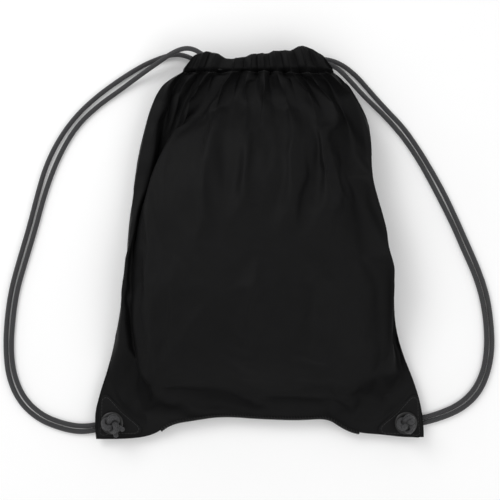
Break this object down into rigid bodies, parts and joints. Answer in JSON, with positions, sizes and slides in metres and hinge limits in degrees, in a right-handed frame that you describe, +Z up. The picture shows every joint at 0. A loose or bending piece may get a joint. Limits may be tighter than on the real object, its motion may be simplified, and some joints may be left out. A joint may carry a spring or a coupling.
{
  "type": "drawstring backpack",
  "caption": "Soft fabric drawstring backpack, lightly filled and lying on its back: mouth gathered by drawcords that double as shoulder straps, knotted through eyelets in the lower corners.",
  "frame": {"origin": "on the surface the bag lies on, under the middle of the bag's own length and width (cords and knots left out)", "axes": "+Y from the bottom seam towards the mouth, +Z up out of the front panel, +X to the right as seen from the front"},
  "size_m": [0.5226, 0.4142, 0.0886],
  "materials": {
    "bag_fabric": "matte black plain-woven polyester",
    "patch_fabric": "matte black coated reinforcement cloth",
    "eyelet_metal": "satin black",
    "drawcord": "matte charcoal braided polyester"
  },
  "bodies": {
    "root": {"back_panel": "bag_fabric", "back_channel": "bag_fabric", "bottom_seam": "bag_fabric", "left_corner_front_patch": "patch_fabric", "left_corner_back_patch": "patch_fabric", "left_eyelet": "eyelet_metal", "left_eyelet_washer": "eyelet_metal", "left_knot": "drawcord", "right_corner_front_patch": "patch_fabric", "right_corner_back_patch": "patch_fabric", "right_eyelet": "eyelet_metal", "right_eyelet_washer": "eyelet_metal", "right_knot": "drawcord", "left_cord": "drawcord", "right_cord": "drawcord"},
    "front": {"front_panel": "bag_fabric", "front_channel": "bag_fabric"}
  },
  "joints": [
    {"name": "mouth_open", "type": "hinge", "parent": "root", "child": "front", "pos_m": [0, -0.184, 0.014], "axis": [1, 0, 0], "range_deg": [0, 12], "deforming": ["left_cord", "right_cord"]}
  ]
}
